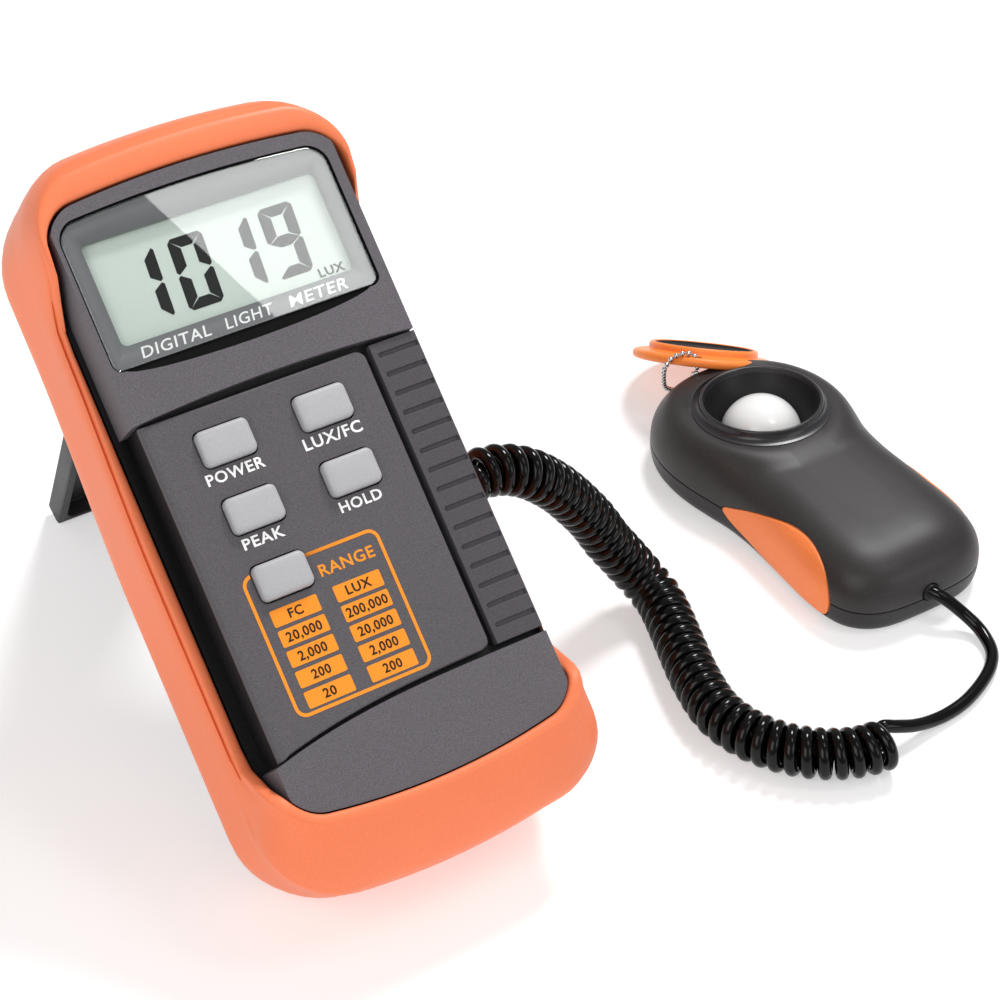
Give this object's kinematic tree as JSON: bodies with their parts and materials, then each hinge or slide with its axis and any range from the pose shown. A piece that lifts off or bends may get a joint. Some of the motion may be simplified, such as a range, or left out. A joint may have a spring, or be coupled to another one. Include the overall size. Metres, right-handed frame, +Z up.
{
  "type": "handheld light meter",
  "caption": "Handheld light meter in an orange rubber holster on its tilt stand, with a coiled cord to a domed light sensor and a chained dust cap.",
  "frame": {"origin": "middle of the footprint of the meter, its stand, the sensor and its cap, on the surface they stand on; the cord isn't counted", "axes": "+X to the meter's right as its keys are read, +Z up, +Y away from whoever reads it"},
  "size_m": [0.1871, 0.166, 0.119],
  "materials": {
    "battery_cell_low": "wrapped",
    "battery_cell_top": "wrapped",
    "battery_contact": "plated",
    "battery_door": "finely textured near black",
    "button_hold": "matt light grey",
    "button_lux_fc": "matt light grey",
    "button_peak": "matt light grey",
    "button_power": "matt light grey",
    "button_range": "matt light grey",
    "cap_chain": "plated beads",
    "cap_liner": "matt black",
    "cap_shell": "matt orange",
    "case_screw_low_left": "plain",
    "case_screw_low_right": "plain",
    "case_screw_top_left": "plain",
    "case_screw_top_right": "plain",
    "chain_eyelet": "plated wire",
    "colour_filter": "green",
    "cord_coil": "glossy black",
    "cord_gland_meter": "black",
    "cord_gland_sensor": "black",
    "cord_lead": "glossy black",
    "crystal": "satin",
    "diffuser_dome": "satin white",
    "front_case": "finely textured dark grey",
    "holster": "matt salmon orange",
    "key_switch_hold": "moulded black",
    "key_switch_lux_fc": "moulded black",
    "key_switch_peak": "moulded black",
    "key_switch_power": "moulded black",
    "key_switch_range": "moulded black",
    "keypad_panel": "finely textured dark grey",
    "lcd_bezel": "matt",
    "lcd_panel": "pale grey green",
    "lcd_reflector": "foil",
    "lcd_window": "clear glossy",
    "light_collar": "satin black",
    "main_chip": "moulded black",
    "main_pcb": "green solder mask",
    "photodiode": "gold can",
    "rear_case": "finely textured near black",
    "sensor_base_case": "satin charcoal",
    "sensor_grip_left": "matt orange",
    "sensor_grip_right": "matt orange",
    "sensor_pcb": "green solder mask",
    "sensor_screw_head": "plain",
    "sensor_screw_tail": "plain",
    "sensor_top_case": "satin charcoal",
    "side_grip": "slotted dark grey",
    "stand_pin": "plain",
    "tilt_stand": "satin near black",
    "trimmer": "moulded blue",
    "zebra_strip_low": "soft",
    "zebra_strip_top": "soft"
  },
  "bodies": {
    "meter": {"battery_cell_low": "battery_cell_low", "battery_cell_top": "battery_cell_top", "battery_contact": "battery_contact", "case_screw_low_left": "case_screw_low_left", "case_screw_low_right": "case_screw_low_right", "case_screw_top_left": "case_screw_top_left", "case_screw_top_right": "case_screw_top_right", "cord_coil": "cord_coil", "cord_gland_meter": "cord_gland_meter", "cord_lead": "cord_lead", "crystal": "crystal", "front_case": "front_case", "holster": "holster", "key_switch_hold": "key_switch_hold", "key_switch_lux_fc": "key_switch_lux_fc", "key_switch_peak": "key_switch_peak", "key_switch_power": "key_switch_power", "key_switch_range": "key_switch_range", "keypad_panel": "keypad_panel", "lcd_bezel": "lcd_bezel", "lcd_panel": "lcd_panel", "lcd_reflector": "lcd_reflector", "lcd_window": "lcd_window", "main_chip": "main_chip", "main_pcb": "main_pcb", "rear_case": "rear_case", "side_grip": "side_grip", "stand_pin": "stand_pin", "trimmer": "trimmer", "zebra_strip_low": "zebra_strip_low", "zebra_strip_top": "zebra_strip_top"},
    "sensor": {"chain_eyelet": "chain_eyelet", "colour_filter": "colour_filter", "cord_gland_sensor": "cord_gland_sensor", "diffuser_dome": "diffuser_dome", "light_collar": "light_collar", "photodiode": "photodiode", "sensor_base_case": "sensor_base_case", "sensor_grip_left": "sensor_grip_left", "sensor_grip_right": "sensor_grip_right", "sensor_pcb": "sensor_pcb", "sensor_screw_head": "sensor_screw_head", "sensor_screw_tail": "sensor_screw_tail", "sensor_top_case": "sensor_top_case"},
    "cap": {"cap_shell": "cap_shell", "cap_liner": "cap_liner", "cap_chain": "cap_chain"},
    "stand": {"tilt_stand": "tilt_stand"},
    "door": {"battery_door": "battery_door"},
    "key_power": {"button_power": "button_power"},
    "key_lux_fc": {"button_lux_fc": "button_lux_fc"},
    "key_peak": {"button_peak": "button_peak"},
    "key_hold": {"button_hold": "button_hold"},
    "key_range": {"button_range": "button_range"}
  },
  "joints": [
    {"name": "stand_hinge", "type": "hinge", "parent": "meter", "child": "stand", "pos_m": [-0.0582, 0.03279, 0.08221], "axis": [1, 0, 0], "range_deg": [-75, 0]},
    {"name": "door_lift", "type": "slide", "parent": "meter", "child": "door", "axis": [0, 0.6608, -0.7506], "range_m": [0, 0.006]},
    {"name": "sensor_lift", "type": "slide", "parent": "meter", "child": "sensor", "axis": [0, 0, 1], "range_m": [0, 0.1]},
    {"name": "cap_lift", "type": "slide", "parent": "sensor", "child": "cap", "axis": [0, 0, 1], "range_m": [0, 0.012], "deforming": ["cap_chain"]},
    {"name": "press_power", "type": "slide", "parent": "meter", "child": "key_power", "axis": [0, 0.6608, -0.7506], "range_m": [0, 0.001], "stiffness_N_per_m": 400, "springref_m": -0.0005},
    {"name": "press_lux_fc", "type": "slide", "parent": "meter", "child": "key_lux_fc", "axis": [0, 0.6608, -0.7506], "range_m": [0, 0.001], "stiffness_N_per_m": 400, "springref_m": -0.0005},
    {"name": "press_peak", "type": "slide", "parent": "meter", "child": "key_peak", "axis": [0, 0.6608, -0.7506], "range_m": [0, 0.001], "stiffness_N_per_m": 400, "springref_m": -0.0005},
    {"name": "press_hold", "type": "slide", "parent": "meter", "child": "key_hold", "axis": [0, 0.6608, -0.7506], "range_m": [0, 0.001], "stiffness_N_per_m": 400, "springref_m": -0.0005},
    {"name": "press_range", "type": "slide", "parent": "meter", "child": "key_range", "axis": [0, 0.6608, -0.7506], "range_m": [0, 0.001], "stiffness_N_per_m": 400, "springref_m": -0.0005}
  ]
}
